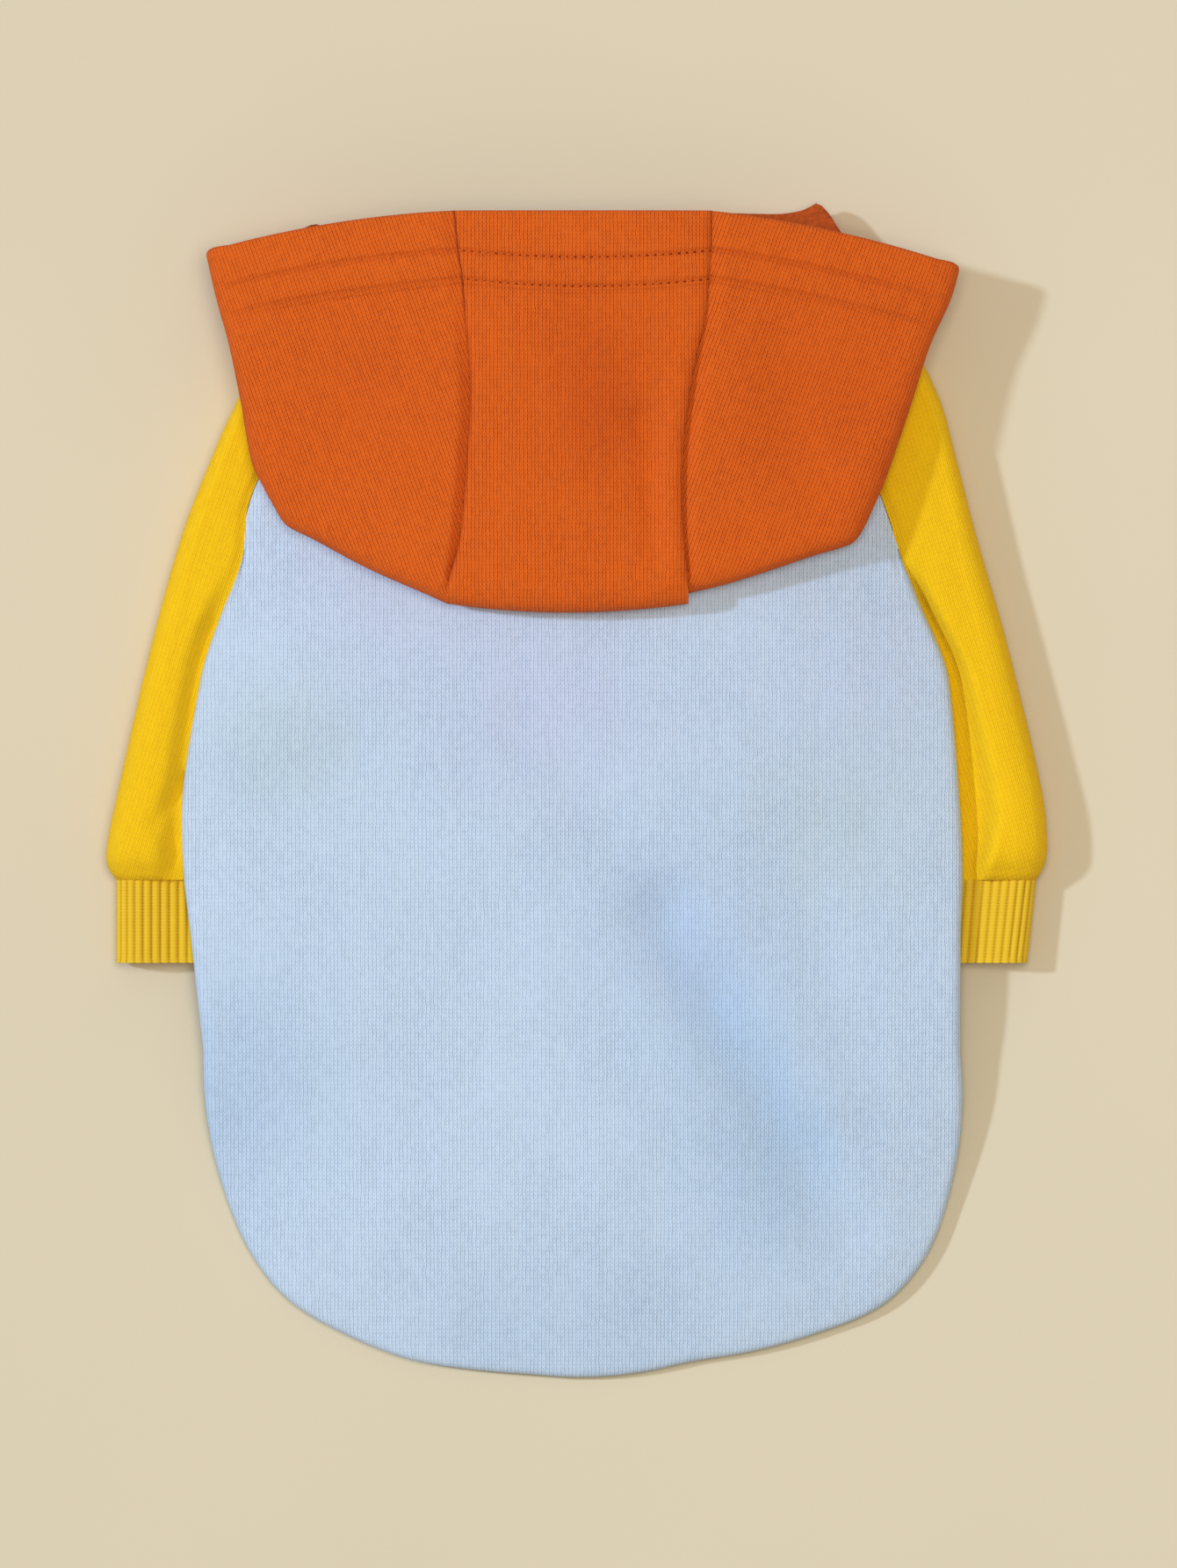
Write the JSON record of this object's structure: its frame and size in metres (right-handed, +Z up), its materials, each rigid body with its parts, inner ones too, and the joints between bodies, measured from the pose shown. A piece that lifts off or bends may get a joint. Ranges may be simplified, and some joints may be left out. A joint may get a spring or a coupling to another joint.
{
  "type": "dog hoodie",
  "caption": "Small dog's pullover hoodie in knitted cloth, lying on its belly with ribbed sleeves out and the hood folded back.",
  "frame": {"origin": "on the table under the middle of the hoodie as it lies", "axes": "+Y towards the head end, +X to the right as the back is seen, +Z up from the table"},
  "size_m": [0.2522, 0.3144, 0.0357],
  "materials": {
    "body_knit": "sky blue sweatshirt knit, matt, softly mottled",
    "sleeve_knit": "yellow sweatshirt knit, matt",
    "cuff_rib": "yellow one-and-one rib knit, matt",
    "hood_knit": "orange sweatshirt knit, matt, with stitched hem"
  },
  "bodies": {
    "root": {"body_back": "body_knit", "belly_panel": "body_knit", "sleeve_left": "sleeve_knit", "sleeve_right": "sleeve_knit", "cuff_left": "cuff_rib", "cuff_right": "cuff_rib", "hood_left": "hood_knit", "hood_middle": "hood_knit", "hood_right": "hood_knit"}
  },
  "joints": []
}
